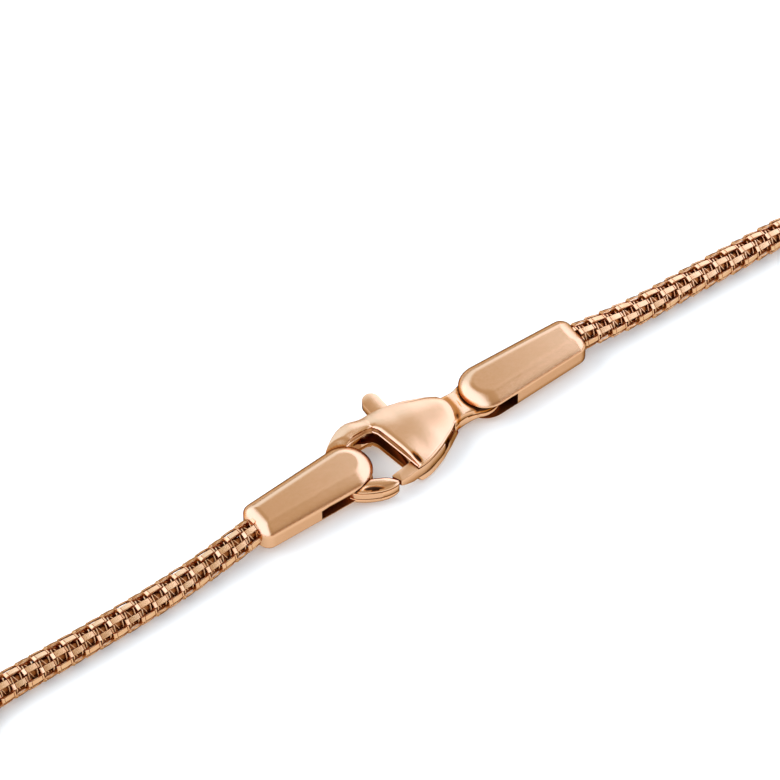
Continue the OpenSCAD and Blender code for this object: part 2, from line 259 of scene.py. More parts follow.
# The plain sky that the camera sees, and the even one that lights the floor
BACKDROP, EVEN_SKY = 1.0, 1.16
# The lamp: side and distance in metres, power in watts, and the way that it stands in
LAMP_SIDE, LAMP_AWAY, LAMP_POWER, LAMP_WAY = 0.6, 0.75, 4.6, (-0.62, 0.5, 0.72)
# The floor: size in metres, paint, and the even tone that takes most of its place in reflections
FLOOR_SIZE, FLOOR_PAINT = 4, (0.87, 0.92, 0.945, 1)
FLOOR_MIRRORED, MIRRORED_SHARE = (0.82, 0.8, 0.8, 1), 0.85


def set_sky():
    """A plain studio: a wide softbox to the left, one to the right, a strip behind, and a darker
    room on the near side. Only reflections see it."""
    world = bpy.data.worlds.new("studio")
    bpy.context.scene.world = world
    sky = Bench(world)
    ray = sky.node("ShaderNodeTexCoord", output="Generated")
    right, far, height = (sky.toward(ray, way) for way in ((1, 0, 0), (0, 1, 0), UP))
    near = -1 * far

    def part(side, strength, start, full):
        return strength * side.step(start, full)

    def plain(strength):
        return sky.node("ShaderNodeBackground", {},
                        {"Color": (1, 1, 1, 1), "Strength": strength})

    light = ROOM
    for way, strength, narrow in GLOWS:
        light = light + strength * sky.toward(ray, way).most(0) ** narrow
    light = light * (1 - part(near, *NEAR_SHADE))
    light = light * (1 - part(near, *NEAR_FOOT) * (1 - height.step(*NEAR_FOOT_TOP)))
    boxes = part(right, *RIGHT_BOX) + part(-1 * right, *LEFT_BOX) + part(far, *BACK_BOX)
    light = light + boxes
    light = light * (1 - part(far, *FAR_FOOT) * (1 - height.step(*FAR_FOOT_TOP)))
    tint = sky.node("ShaderNodeValToRGB", {"stops": SKY_TINTS}, {"Fac": light * (1 / BRIGHTEST)})
    lit = sky.node("ShaderNodeBackground", {}, {"Color": tint, "Strength": light})
    matt = sky.node("ShaderNodeLightPath", output="Is Diffuse Ray")
    seen = sky.node("ShaderNodeLightPath", output="Is Camera Ray")
    around = sky.choose(matt, lit, plain(EVEN_SKY))
    sky.finish("ShaderNodeOutputWorld", sky.choose(seen, around, plain(BACKDROP)))


def set_light():
    """A wide lamp, high on the far left. Reflections see the sky's softboxes in its place."""
    lamp = bpy.data.lights.new("softbox", "AREA")
    lamp.shape = "RECTANGLE"
    lamp.size, lamp.size_y = LAMP_SIDE, LAMP_SIDE
    lamp.energy = LAMP_POWER
    box = add_object("softbox", lamp)
    box.visible_glossy = False
    way = Vector(LAMP_WAY).normalized()
    turn = way.to_track_quat("Z", "Y").to_matrix().to_4x4()
    box.matrix_world = Matrix.Translation(way * LAMP_AWAY) @ turn


def set_floor():
    bm = bmesh.new()
    bmesh.ops.create_grid(bm, x_segments=1, y_segments=1, size=FLOOR_SIZE)
    floor = add_object("floor", to_mesh("floor", bm))
    paint = bpy.data.materials.new("pale_floor")
    bench = Bench(paint)
    matt = bench.node("ShaderNodeBsdfDiffuse", {}, {"Color": FLOOR_PAINT})
    even = bench.node("ShaderNodeEmission", {}, {"Color": FLOOR_MIRRORED})
    mirrored = MIRRORED_SHARE * bench.node("ShaderNodeLightPath", output="Is Glossy Ray")
    bench.finish("ShaderNodeOutputMaterial", bench.choose(mirrored, matt, even))
    floor.data.materials.append(paint)


# ---- finishes

# How "depth" paints shade in a groove: polished gold turns orange at FRINGE, all of it is brown
# half way down, and it takes the dark hollow colour at the bottom
FRINGE, HALF_WAY, BOTTOM = 0.2, 0.5, 0.95
ORANGE, BROWN, HOLLOW_SHADE = (0.92, 0.4, 0.14, 1), (0.62, 0.23, 0.07, 1), (0.05, 0.018, 0.008, 1)
EDGE_TINT = (0.12, 0.06, 0.03, 1)
# Hair scratches lie two ways: the scale of their noise, its stretch along and across a hair, and
# how deep a scratch is, in metres
HAIR, HAIR_LONG, HAIR_FINE, SCRATCH_DEEP = 14, 0.35, 6, 0.00001
# The places of a piece's materials: gold painted dark as the slots' shade, and darker gold painted
# as shade on the window's walls
IN_SLOT, IN_WINDOW = 1, 2


def metal(name, bright, deep, rough, scratch, grain_scale, hollow_shade=HOLLOW_SHADE, ridged=False):
    """Polished rose gold. It wanders between two tints and two kinds of polish, and carries fine
    hair scratches. Where its "depth" says, it is painted with shade: warm brown, then the dark
    hollow colour. Ridged wires carry fine ridges across them. Sizes are in millimetres."""
    finish = bpy.data.materials.new(name)
    bench = Bench(finish)
    place = bench.node("ShaderNodeTexCoord", output="Object")
    place = bench.node("ShaderNodeMapping", {}, {"Vector": place, "Scale": (1 / MM,) * 3})

    def grain(scale, detail=2, stretch=(1, 1, 1), turn=0, start=place):
        spot = bench.node("ShaderNodeMapping", {},
                          {"Vector": start, "Scale": stretch, "Rotation": (0, 0, turn)})
        return bench.node("ShaderNodeTexNoise", {},
                          {"Vector": spot, "Scale": scale, "Detail": detail})

    cloud = grain(grain_scale, 3).step(0.35, 0.65)
    fine = grain(grain_scale * 9, 3)
    tint = bench.blend(cloud, bright, deep)
    hairs = grain(HAIR, stretch=(HAIR_LONG, HAIR_FINE, HAIR_FINE), turn=0.5)
    hairs = hairs + grain(HAIR, stretch=(HAIR_FINE, HAIR_LONG, HAIR_FINE), turn=-0.3)
    relief = hairs + 0.8 * fine
    # The "depth" attribute says where the gold is painted with shade
    depth = bench.node("ShaderNodeAttribute", {"attribute_name": "depth"}, output="Fac")
    if ridged:
        along = bench.node("ShaderNodeUVMap", {"uv_map": "weave"})
        relief = relief + 0.9 * grain(1, stretch=(16, 2, 1), start=along)
    else:
        tint = bench.blend(depth.step(0, FRINGE), tint, ORANGE)
    tint = bench.blend(depth.step(0 if ridged else FRINGE, HALF_WAY), tint, BROWN)
    tint = bench.blend(depth.step(HALF_WAY, BOTTOM), tint, hollow_shade)
    polish = rough + 0.05 * cloud + 0.06 * (fine - 0.5) + 0.03 * (hairs - 1)
    bump = bench.node("ShaderNodeBump", {}, {
        "Strength": scratch, "Distance": SCRATCH_DEEP, "Height": relief}, "Normal")
    shader = bench.node("ShaderNodeBsdfPrincipled", {}, {
        "Base Color": tint, "Metallic": 1.0, "Roughness": polish, "Normal": bump,
        "Specular Tint": EDGE_TINT})
    bench.finish("ShaderNodeOutputMaterial", shader)
    return finish


# ---- shaping helpers

# Corners nearer than this are one, and so are the levels that at() compares
MERGE, LEVEL = 0.0005, 0.001


def at(value, level):
    return abs(value - level) < LEVEL


def corners_in(geom):
    return [g for g in geom if isinstance(g, bmesh.types.BMVert)]


def whole(bm):
    return bm.verts[:] + bm.edges[:] + bm.faces[:]


def with_rims(faces):
    """The faces with their corners and edges."""
    verts = dict.fromkeys(v for f in faces for v in f.verts)
    edges = dict.fromkeys(e for f in faces for e in f.edges)
    return [*verts, *edges, *faces]


def cut_line(bm, geom, spot, way):
    """Cuts a line where a plane through the spot crosses geom, and takes nothing away."""
    bmesh.ops.bisect_plane(bm, geom=geom, dist=0.0001, plane_co=spot, plane_no=way)


def round_off(bm, edges, width, segments=2, clamp_overlap=True):
    bmesh.ops.bevel(bm, geom=edges, offset=width, offset_type="OFFSET", segments=segments,
                    profile=0.5, affect="EDGES", material=-1, clamp_overlap=clamp_overlap)


def face_out(bm, faces=None):
    bmesh.ops.recalc_face_normals(bm, faces=bm.faces if faces is None else faces)


def below(rows):
    """Rows of a section, mirrored below its middle so that they go on from it."""
    return [(w, -z) for w, z in reversed(rows)]


def sheet(bm, columns, rows, place):
    """A grid whose corners are put where place(column, row) says."""
    made = bmesh.ops.create_grid(bm, x_segments=columns, y_segments=rows, size=0.5)["verts"]
    spots = {}
    for v in made:
        i, j = round((v.co.x + 0.5) * columns), round((v.co.y + 0.5) * rows)
        v.co = place(i, j)
        spots[i, j] = v
    return spots


def rod(radius, length, middle, around):
    """An upright rod, to cut a bore with."""
    bm = bmesh.new()
    bmesh.ops.create_cone(bm, cap_ends=True, segments=around, radius1=radius, radius2=radius,
                          depth=length, matrix=Matrix.Translation(middle))
    return bm


def cut_away(bm, cutter):
    """Takes the form of another bmesh out of bm, with a Boolean that is applied at once."""
    objects = [add_object("form", to_mesh("form", form)) for form in (bm, cutter)]
    tool = objects[0].modifiers.new("cut", "BOOLEAN")
    tool.operation, tool.solver, tool.object = "DIFFERENCE", "EXACT", objects[1]
    ready = objects[0].evaluated_get(bpy.context.evaluated_depsgraph_get())
    left = bmesh.new()
    left.from_mesh(ready.to_mesh())
    for o in objects:
        bpy.data.objects.remove(o)
    return left


def close_added(bm, had):
    """Joins and closes what was added since had, with its normals outwards."""
    bmesh.ops.remove_doubles(bm, verts=[v for v in bm.verts if v not in had], dist=0.0004)
    made = [v for v in bm.verts if v not in had]
    ends = list(dict.fromkeys(e for v in made for e in v.link_edges if e.is_boundary))
    if ends:
        bmesh.ops.holes_fill(bm, edges=ends, sides=0)
    face_out(bm, list(dict.fromkeys(f for v in made for f in v.link_faces)))


def soften(bm, angle):
    """Smooth shading, with a sharp line where faces meet at more than the angle."""
    for f in bm.faces:
        f.smooth = True
    for e in bm.edges:
        if len(e.link_faces) == 2:
            e.smooth = e.calc_face_angle(0) < radians(angle)


def make_piece(name, bm, finishes, slot, body, *stands_for):
    bmesh.ops.transform(bm, matrix=SET_DOWN, verts=bm.verts)
    piece = add_object(name, to_mesh(name, bm))
    for finish in finishes:
        piece.data.materials.append(finish)
    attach(piece, body)
    if stands_for:
        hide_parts(*stands_for)


# ---- end caps

# Length, width at the post and at the tube, height, and corner
CAP_L, CAP_W, CAP_MESH_W, CAP_H, CAP_CORNER = 9.47, 3.63, 3.1, 2.74, 0.85
# The caps' posts: from the clasp's end, and from one post to the other. Caps turn a little.
POST_INSET, POST_SPACING, CAP_TURN = 1.3, 7.9, 0.6
POST_X = POST_SPACING / 2 + POST_INSET
CAP_REACH = CAP_L - POST_INSET
# The middle height of the slots and of the clasp, and the bore for a post with its seats
CLASP_Z, POST_R, POST_SEAT = 1.28, 0.48, 0.3
# Steps round the caps' nose and corners, and along their sides and end
NOSE_STEPS, CORNER_STEPS, SIDE_STEPS, END_STEPS = 44, 16, 8, 2
# The rounded edge: width, height, how far round it goes and in how many rows
EDGE_WIDE, EDGE_TALL, EDGE_LEAN, EDGE_ROWS = 1.04, 0.78, 60, 22
# The plateau's rows, and the lines cut across it and along it
PLATEAU = (1.09, 1.07)
CROWN_ACROSS, CROWN_ALONG = (0.6, 1.4, 2.2, 3, 3.8, 4.6, 5.4, 6.2, 7), (-0.4, 0, 0.4)
# The tops' crown: where it is highest, and how much it drops to its ends, to its sides and at most
CROWN_X, CROWN_HALF_L, CROWN_DROP, CROWN_SIDE_DROP, CROWN_MOST = 3.4, 3.6, 0.05, 0.02, 0.08
# The rounding of the slot's lips, and how strong the painted shade is on the upper plate's wall
LIP_R, CAP_SHADE = 0.045, 0.52


def cap_outline(inset):
    """The cap's outline from above, brought in by inset, with its post at the origin."""
    big, small, least = CAP_W / 2, CAP_CORNER, 0.05
    first = Vector((big - POST_INSET, 0))
    corner = Vector((CAP_REACH - small, CAP_MESH_W / 2 - small))
    run = corner - first
    lean = atan2(run.y, run.x) + acos((big - small) / run.length)
    beyond = max(0, inset - small + least)
    corner -= Vector((beyond, beyond))

    def arc(middle, radius, start, end, steps):
        return [middle + Vector((cos(a), sin(a))) * max(radius - inset, least)
                for a in (mix(start, end, k / steps) for k in range(steps + 1))]

    nose = arc(first, big, lean, 2 * pi - lean, NOSE_STEPS)
    near = arc(Vector((corner.x, -corner.y)), small, -lean, 0, CORNER_STEPS)
    far = arc(corner, small, 0, lean, CORNER_STEPS)
    line = []
    for part, after, steps in ((nose, near, SIDE_STEPS), (near, far, END_STEPS),
                               (far, nose, SIDE_STEPS)):
        line += part + [part[-1].lerp(after[0], k / steps) for k in range(1, steps)]
    return line


def cap_profile():
    """Rows of a cap from its plateau outwards and down to the middle: inset and height."""
    lean = radians(EDGE_LEAN)
    rows = [(inset, CAP_H) for inset in PLATEAU]
    for k in range(EDGE_ROWS + 1):
        a = lean * k / EDGE_ROWS
        rows.append((EDGE_WIDE * (1 - sin(a) / sin(lean)),
                     CAP_H - EDGE_TALL * (1 - cos(a)) / (1 - cos(lean))))
    return rows + [(0, CAP_H / 2 + 0.2)]


def crown_tops(bm):
    """Crowns the cap's flat top and underside a little."""
    middle = CAP_H / 2
    for spot, way in ([((x, 0, 0), (1, 0, 0)) for x in CROWN_ACROSS]
                      + [((0, y, 0), (0, 1, 0)) for y in CROWN_ALONG]):
        tops = [f for f in bm.faces if abs(f.normal.z) > 0.999
                and abs(f.calc_center_median().z - middle) > middle - 0.01]
        cut_line(bm, with_rims(tops), spot, way)
    for v in bm.verts:
        up = abs(v.co.z - middle)
        drop = CROWN_DROP * ((v.co.x - CROWN_X) / CROWN_HALF_L) ** 2 + CROWN_SIDE_DROP * v.co.y ** 2
        v.co.z -= copysign(min(drop, CROWN_MOST) * smooth((up - 0.7) / 0.6), v.co.z - middle)


def open_slot(bm, low, high, end):
    """Opens the slot at the clasp's end and on both sides, between two heights and up to an end."""
    for spot, way in (((0, 0, low), UP), ((0, 0, high), UP), ((end, 0, 0), (1, 0, 0))):
        cut_line(bm, whole(bm), spot, way)
    gone = [f for f in bm.faces
            if low < f.calc_center_median().z < high and f.calc_center_median().x < end]
    bmesh.ops.delete(bm, geom=gone, context="FACES")
    rim = [e for e in bm.edges if e.is_boundary]
    plates = []
    for level in (low, high):
        curve = [e for e in rim if all(at(v.co.z, level) for v in e.verts)]
        corners = [v for v in dict.fromkeys(v for e in rim for v in e.verts)
                   if at(v.co.x, end) and at(v.co.z, level)]
        back = bm.edges.new(corners)
        plates += bmesh.ops.contextual_create(bm, geom=curve + [back])["faces"]
    bmesh.ops.contextual_create(bm, geom=[e for e in bm.edges if e.is_boundary])
    lips = list(dict.fromkeys(e for f in plates for e in f.edges))
    face_out(bm)
    round_off(bm, lips, LIP_R)


def make_cap(name, side, slot_l, slot_h, finishes):
    bm = bmesh.new()
    top = cap_profile()
    rows = top + [(0, CAP_H / 2)] + [(inset, CAP_H - z) for inset, z in reversed(top)]
    lines = [cap_outline(inset) for inset, _ in rows]
    around = len(lines[0])
    sheet(bm, around, len(rows) - 1, lambda i, j: (*lines[j][i % around], rows[j][1]))
    bmesh.ops.remove_doubles(bm, verts=bm.verts, dist=MERGE)
    bmesh.ops.holes_fill(bm, edges=[e for e in bm.edges if e.is_boundary], sides=0)
    crown_tops(bm)
    low, high, end = CLASP_Z - slot_h / 2, CLASP_Z + slot_h / 2, slot_l - POST_INSET
    open_slot(bm, low, high, end)
    bm = cut_away(bm, rod(POST_R, slot_h + 2 * POST_SEAT, (0, 0, CLASP_Z), 48))
    # Faces in the slot, its seats and the bore take the slot's gold, painted dark as shade
    for f in bm.faces:
        middle, near = f.calc_center_median(), 0.01
        inside = (low - POST_SEAT - near < middle.z < high + POST_SEAT + near
                  and middle.x < end + near)
        if inside and (abs(f.normal.z) > 0.9 or f.normal.x < -0.9
                       or middle.xy.length < POST_R + near):
            f.material_index = IN_SLOT
    turn = (Matrix.Translation((side * POST_X, 0, 0))
            @ Matrix.Rotation(-side * radians(CAP_TURN), 4, "Z"))
    if side < 0:
        turn = turn @ Matrix.Scale(-1, 4, (1, 0, 0))
    bmesh.ops.transform(bm, matrix=turn, verts=bm.verts)
    face_out(bm)
    soften(bm, 35)
    # Painted shade: the upper plate's wall is darkened beside the slot, round the nose and along
    # the far side
    depth = bm.verts.layers.float.new("depth")
    for v in bm.verts:
        x, y = v.co.x * side - POST_X, v.co.y
        where = max(smooth((0.3 - x) / 0.4) * smooth((y + 1.3) / 0.7), smooth((y - 0.6) / 0.5))
        if v.co.z > high:
            v[depth] = CAP_SHADE * where * (1 - smooth((v.co.z - CAP_H + 0.7) / 0.2))
    make_piece(name + "_polished", bm, finishes, "rose_gold", "bracelet", name)


# ---- woven mesh

# Half the loop runs straight from a cap, round a bend, along a side and round half of the far end.
# Headings are in degrees from the clasp's line.
LOOP, BEND_R, FAR_R = 190, 6, 7
BEND_END, FAR_START, FAR_END = 130, 154, 180
# The tube's radius, and the length in which it comes down from the caps to the surface
MESH_R, SINK_L = 1.03, 6
# How far the tube strays into the loop: distance from a cap, then at the right and at the left
SWAY = [(0, 0, 0.05), (2, 0.2, 0.2), (6, 0.43, 0.35), (9, 0.5, 0.41), (14, 0.66, 0.3),
        (20, 0.85, 0.1), (46, 0, 0)]

START_X, START_Y = POST_X + CAP_REACH * cos_of(CAP_TURN), -CAP_REACH * sin_of(CAP_TURN)
BEND_L = BEND_R * radians(BEND_END - CAP_TURN)
FAR_L = FAR_R * radians(FAR_END - FAR_START)
SIDE_TURN = radians(FAR_START - BEND_END) / (sin_of(BEND_END) - sin_of(FAR_START))
SIDE_X = START_X + BEND_R * (sin_of(BEND_END) - sin_of(CAP_TURN)) - FAR_R * sin_of(FAR_START)
STRAIGHT_L = ((LOOP / 2 - POST_X - CAP_REACH - BEND_L - FAR_L - SIDE_X * SIDE_TURN)
              / (1 + SIDE_TURN * cos_of(CAP_TURN)))
SIDE_R = (SIDE_X + STRAIGHT_L * cos_of(CAP_TURN)) / (sin_of(BEND_END) - sin_of(FAR_START))
SIDE_L = SIDE_R * radians(FAR_START - BEND_END)
HALF_L = STRAIGHT_L + BEND_L + SIDE_L + FAR_L
# The arcs after the straight run: length, radius, and the headings at their start and end
ARCS = ((BEND_L, BEND_R, CAP_TURN, BEND_END), (SIDE_L, SIDE_R, BEND_END, FAR_START),
        (FAR_L, FAR_R, FAR_START, FAR_END))


def path(s, side):
    """Centre line at distance s from a cap: its place, and the level way out of the loop."""
    h, run, left = CAP_TURN, min(s, STRAIGHT_L), s - STRAIGHT_L
    x, y = START_X + run * cos_of(h), START_Y - run * sin_of(h)
    for length, r, h0, h1 in ARCS:
        if left > 0:
            h = mix(h0, h1, min(left / length, 1))
            x, y = x + r * (sin_of(h) - sin_of(h0)), y + r * (cos_of(h) - cos_of(h0))
            left -= length
    out = Vector((side * sin_of(h), cos_of(h), 0))
    drift = read_off(SWAY, s, 1 if side > 0 else 2)
    z = mix(CAP_H / 2, MESH_R, smooth(s / SINK_L))
    return Vector((side * x, y, z)) - out * drift, out


def on_path(d):
    """Place at distance d along the whole tube, from the right cap to the left one."""
    return path(d, 1) if d <= HALF_L else path(2 * HALF_L - d, -1)


# A ring has six bars and stands LINK from the next, which is turned by half a bar's place
LINK, BARS, HALF_TURN = 1.094, 6, 30
# A bar's width and rounding, and the end from which it leans
BAR_W, BAR_R, BAR_START = 0.41, 0.03, -0.47
# A bar from the side: its closed outline, in distance along the tube and from its middle
BAR_SIDE = [
    (-0.22, 0.66), (-0.47, 0.66), (-0.58, 0.7), (-0.655, 0.79), (-0.645, 0.88), (-0.6, 0.94),
    (-0.46, 1.015), (-0.43, 1.005), (-0.41, 0.92), (-0.375, 0.985), (0.0, 1.01), (0.385, 0.985),
    (0.42, 0.945), (0.45, 0.985), (0.53, 0.985), (0.6, 0.91), (0.625, 0.8), (0.58, 0.7),
    (0.47, 0.66), (0.22, 0.66), (0.22, 0.73), (0.45, 0.73), (0.52, 0.8), (0.48, 0.88),
    (0.0, 0.9), (-0.48, 0.88), (-0.52, 0.8), (-0.45, 0.73), (-0.22, 0.73),
]
# How strong the painted shade is in a bar's two end grooves, and toward its foot
GROOVE_SHADE, FOOT_SHADE = 0.8, 0.7
# The arcs of a ring: distance along the tube, radius, width, slant, and the strength of their
# painted shade
RING_ARCS = (
    (-0.37, 0.82, 0.07, 0.1, 0.05), (-0.12, 0.78, 0.06, -0.16, 0.2),
    (0.29, 0.82, 0.07, 0.12, 0.12), (0, 0.62, 0.9, 0, 0.85),
)
# Their thickness, the degrees from bar to bar, and their steps
ARC_T, ARC_FROM, ARC_TO, ARC_STEPS = 0.06, 12, 48, 3


def weave_ring():
    """One ring of the weave, round the x axis: six bars, tied together by thin arcs. Its corners'
    "depth", which paints shade, is 0 outside and rises to 1 inside."""
    bm = bmesh.new()
    depth = bm.verts.layers.float.new("depth")
    face = bm.faces.new([bm.verts.new((x, -BAR_W / 2, z)) for x, z in BAR_SIDE])
    moved = bmesh.ops.extrude_face_region(bm, geom=[face])["geom"]
    bmesh.ops.translate(bm, vec=(0, BAR_W, 0), verts=corners_in(moved))
    face_out(bm)
    tops = [e for e in bm.edges
            if e.calc_face_angle(0) > 1.3 and e.verts[0].co.y * e.verts[1].co.y > 0
            and min(v.co.z for v in e.verts) > 0.93]
    round_off(bm, tops, BAR_R, segments=1, clamp_overlap=False)
    # Painted shade in the bars' end grooves, growing toward their feet
    for v in bm.verts:
        groove = v.co.z < 0.96 and 0.35 < abs(v.co.x) < 0.44
        v[depth] = GROOVE_SHADE if groove else FOOT_SHADE * (1 - smooth((v.co.z - 0.78) / 0.14))
    for x, r, wide, slant, deep in RING_ARCS:
        def on_ring(i, j):
            a = mix(ARC_FROM, ARC_TO, j / ARC_STEPS)
            along = x + (i - 0.5) * wide + slant * (j / ARC_STEPS - 0.5)
            return along, r * sin_of(a), r * cos_of(a)

        had = set(bm.verts)
        strip = sheet(bm, 1, ARC_STEPS, on_ring)
        faces = list(dict.fromkeys(f for v in strip.values() for f in v.link_faces))
        face_out(bm, faces)
        bmesh.ops.solidify(bm, geom=faces, thickness=ARC_T)
        # Each arc is painted with its own shade
        for v in bm.verts:
            if v not in had:
                v[depth] = deep
    one = whole(bm)
    for k in range(1, BARS):
        copy = bmesh.ops.duplicate(bm, geom=one)["geom"]
        bmesh.ops.rotate(bm, cent=(0, 0, 0), matrix=Matrix.Rotation(2 * pi * k / BARS, 3, "X"),
                         verts=corners_in(copy))
    face_out(bm)
    soften(bm, 30)
    return to_mesh("ring", bm)


# Near each cap: where a ring's middle is, its roll in degrees, and how much a bar leans in toward
# its right end. The play is how much one ring differs from the next.
RIGHT_AT, LEFT_AT = 2.85, 2.56
RIGHT_ROLL, LEFT_ROLL, ROLL_PLAY = -18.3, -18, 2
RIGHT_LEAN, LEFT_LEAN, LEAN_PLAY = 0.125, 0.05, 0.02
# The tube goes on inside the caps, by this many rings and this far at most
RINGS_INSIDE, TUBE_IN = 4, 2.4
# How many pieces the tube is made in, and the seed of the rings' play
WEAVE_PIECES, SEED = 5, 3


def add_ring(bm, ring, middle, roll, lean):
    """Adds a ring with its middle at a distance along the tube, and bends it round the loop."""
    had_verts, had_faces = len(bm.verts), len(bm.faces)
    bm.from_mesh(ring)
    bm.verts.ensure_lookup_table()
    bm.faces.ensure_lookup_table()
    weave = bm.loops.layers.uv["weave"]
    for f in bm.faces[had_faces:]:
        for corner in f.loops:
            x, y, z = corner.vert.co
            corner[weave].uv = (middle + x, atan2(y, z) + roll)
    c, s = cos(roll), sin(roll)
    for v in bm.verts[had_verts:]:
        x, y, z = v.co
        shrink = 1 - lean * (x - BAR_START) / hypot(y, z)
        y, z = y * shrink, z * shrink
        spot, out = on_path(min(max(middle + x, -TUBE_IN), 2 * HALF_L + TUBE_IN))
        v.co = spot + out * (y * c + z * s) + Vector((0, 0, z * c - y * s))


def make_weave(finish):
    """The whole tube in a few pieces. The first one stands for the plain tube."""
    ring = weave_ring()
    first, last = RIGHT_AT, 2 * HALF_L - LEFT_AT
    steps = 2 * round((last - first) / LINK / 2)
    numbers = range(-RINGS_INSIDE, steps + RINGS_INSIDE + 1)
    hand = random.Random(SEED)
    for p in range(WEAVE_PIECES):
        bm = bmesh.new()
        bm.loops.layers.uv.new("weave")
        start, end = (round(k * len(numbers) / WEAVE_PIECES) for k in (p, p + 1))
        for k in numbers[start:end]:
            share = smooth(k / steps)
            roll = radians(mix(RIGHT_ROLL, LEFT_ROLL, share) + HALF_TURN * (k % 2)
                           + hand.uniform(-ROLL_PLAY, ROLL_PLAY))
            lean = mix(RIGHT_LEAN, LEFT_LEAN, share) + hand.uniform(-LEAN_PLAY, LEAN_PLAY)
            add_ring(bm, ring, mix(first, last, k / steps), roll, lean)
        make_piece("weave_%d" % (p + 1), bm, [finish], "woven_metal", "bracelet",
                   *(["mesh_tube"] if p == 0 else []))


# ---- clasp body

# The shells: half width, half height of their side and of their crown, and their two ends
SHELL_HW, BAND_HH, CROWN_HH = 2.7, 0.7, 1.18
SHELL_START, SHELL_END = -2.07, 2.47
SHELL_L = SHELL_END - SHELL_START
# Sections of the shells: place between start and end, half width, fullness of the crown, slant
SHELL_ROWS = [
    (0, 1, 0.97, 0.155), (0.12, 1, 0.99, 0.11), (0.27, 0.975, 1, 0.06), (0.4, 0.92, 1, 0.03),
    (0.5, 0.87, 0.985, 0), (0.58, 0.825, 0.955, -0.01), (0.66, 0.765, 0.91, -0.02),
    (0.75, 0.69, 0.85, -0.035), (0.84, 0.62, 0.78, -0.05), (0.93, 0.53, 0.68, -0.065),
    (1, 0.45, 0.48, -0.08),
]
# How far the shells' middle reaches past their end, at the neck
SHELL_NOSE = 0.33
# A window's edge is rounded over RIM_R and drops by RIM_SINK of a round. A fine crease runs
# CREASE_IN from the shells' side.
RIM_R, RIM_SINK, CREASE, CREASE_W, CREASE_IN = 0.42, 0.55, 0.022, 0.022, 0.13
# The nick in the dome's near corner, a shallow dip that also gets painted shade: its ends, half
# width and depth
NICK, NICK_W, NICK_DEEP = ((-1.54, -1.76), (-1.4, -2.58)), 0.085, 0.06

# The hook's middle and radius, and the widths of the arm, the hook and its hidden part
HOOK_X, HOOK_Y, HOOK_R = -3.995, -0.05, 2.35
ARM_W, HOOK_W, HIDDEN_W = 1.3, 1.05, 0.88
# Half heights of the arm, of the hook in the left cap, and just outside the cap
ARM_HH, HOOK_HH, UNDER_HH = 1.06, 0.4, 0.68
# The fall of the arm's top to its outer side
ARM_FALL, ARM_FALL_POWER = 0.3, 2.2
# The arm and the tip stand this much nearer to the shells than the hidden part of the hook
AHEAD = 0.28
ARM_SHARE = (HOOK_Y + HOOK_R - ARM_W / 2) / SHELL_HW
CAP_NOSE_X, CAP_NOSE_R = POST_INSET - CAP_W / 2 - POST_X, CAP_W / 2

# Lines of the clasp's sheet: degrees round the hook from its arm, steps along the arm and the
# shells, distance from the near edge and from the window, and shares of the arm's width
TURNS = [132 - 4.5 * k for k in range(12)] + [78 - 2 * k for k in range(39)]
ARM_STEPS, SHELL_STEPS, MIDDLE_STEPS = 10, 34, 16
EDGE_LINES = (0, 0.04, 0.075, 0.105, 0.13, 0.155, 0.185, 0.23, 0.3, 0.42, 0.6)
START_LINES = (0, 0.025, 0.055, 0.09, 0.13, 0.17, 0.21, 0.25, 0.29, 0.34, 0.42, 0.52)
FAR_SHARES = (0, 0.03, 0.07, 0.13, 0.25, 0.4, 0.55, 0.7, 0.83, 0.92, 0.97, 1)
FIRST_SHELL, FIRST_FAR = len(TURNS) + ARM_STEPS, len(EDGE_LINES) - 1 + MIDDLE_STEPS

# How the window's far corner is filled: reach and push
WINDOW_CORNER, CORNER_R, CORNER_PUSH = 1.25, 0.31, 0.19
# The slot between the shells from above, and its half height, which gets less toward the hook
SLOT_PLAN = [
    (-2.52, -5.4), (2.3, -5.4), (2.3, -1.25), (1.75, -0.4), (1.75, 0.9), (1.29, 1.6), (1.29, 5.4),
    (-1.72, 5.4), (-1.72, 2.35), (-2.07, 2.15), (-3.9, 2.15), (-3.9, 1.0), (-2.52, 0.3),
]
SLOT_HH = 0.45
# The window's walls lie between these x and y, and face its middle
WINDOW_WALLS, WINDOW_MIDDLE = (-4.2, -1.5, -2.6, 1.9), Vector((-3.1, 0.0))
# A fine ledge runs along the shells' walls at the slot: its lines, and how far it stands out
LEDGE, LEDGE_OUT = (SLOT_HH + 0.03, SLOT_HH + 0.06, SLOT_HH + 0.11), 0.05
# The line of painted shade under the arm's inner rim: it lies left of x, between two y, at height z
ARM_LINE = (-1.95, 0.9, 2.6, 0.93)
# The lower shell: half height of its side, how much wider it is, and how far its near corner at
# the neck is filled, along and across. Its slot's floor is deeper, and raised on the near side
# beyond the lever's room.
LOWER_HH, LOWER_SPREAD, FILL_X, FILL_Y = 1.0, 0.04, 0.36, 0.13
LOWER_SLOT, RAISED_SLOT, LEVER_ROOM = 0.62, 0.3, 2.3
# The rounding of the clasp's sharp rims
RIM_BEVEL = 0.04


def outside_cap(x, y):
    """How far a place is outside the left cap's outline."""
    return (hypot(x - CAP_NOSE_X, y) if x > CAP_NOSE_X else abs(y)) - CAP_NOSE_R


def under_cap(x, y, height, start, end):
    """The height, brought down to the hook's own inside the left cap's slot. It starts to come
    down at start, outside the cap, and is under its lip at end."""
    out = outside_cap(x, y)
    outside = mix(min(height, UNDER_HH), height, smooth((out - end) / (start - end)))
    return mix(min(height, HOOK_HH), outside, smooth((out + 0.25) / 0.2))


def rounded(off, radius):
    """How much a rounded edge has dropped, off from the edge."""
    return RIM_SINK * (radius - sqrt(radius ** 2 - (radius - off) ** 2)) if off < radius else 0


def nick(x, y):
    along, off = beside(x, y, *NICK)
    return NICK_DEEP * bell(off, NICK_W) * taper(along)


